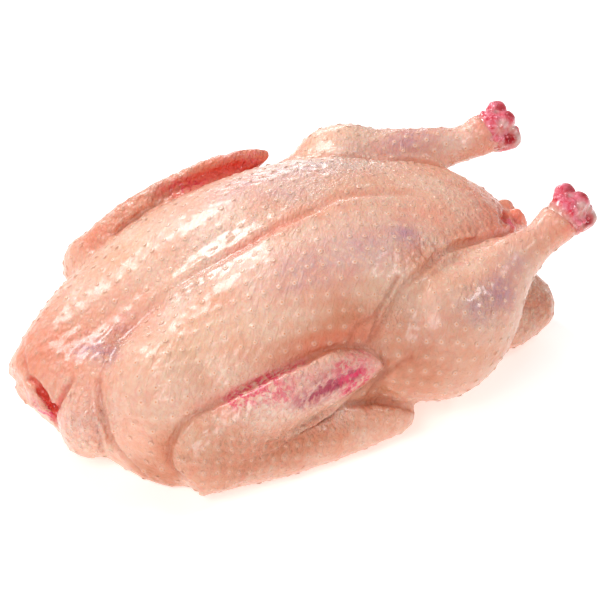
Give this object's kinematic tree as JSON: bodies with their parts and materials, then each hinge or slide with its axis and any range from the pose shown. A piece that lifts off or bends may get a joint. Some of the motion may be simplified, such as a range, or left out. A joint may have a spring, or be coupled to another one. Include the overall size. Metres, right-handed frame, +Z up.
{
  "type": "whole raw duck",
  "caption": "Whole raw duck lying on its back with folded wings, a bare neck and vent opening, and drumsticks that end in bare joints.",
  "frame": {"origin": "middle of the footprint, on the surface that the duck lies on", "axes": "+X from the neck to the tail and legs, +Z up to the breast, +Y to the bird's left side"},
  "size_m": [0.3188, 0.1944, 0.1246],
  "materials": {
    "skin": "moist raw poultry skin, cream to peach, with raised follicles and a soft wet sheen",
    "joint_cartilage": "wet bare joint, magenta red with pale cartilage"
  },
  "bodies": {
    "root": {"carcass": "skin", "left_hock": "joint_cartilage", "right_hock": "joint_cartilage"}
  },
  "joints": []
}
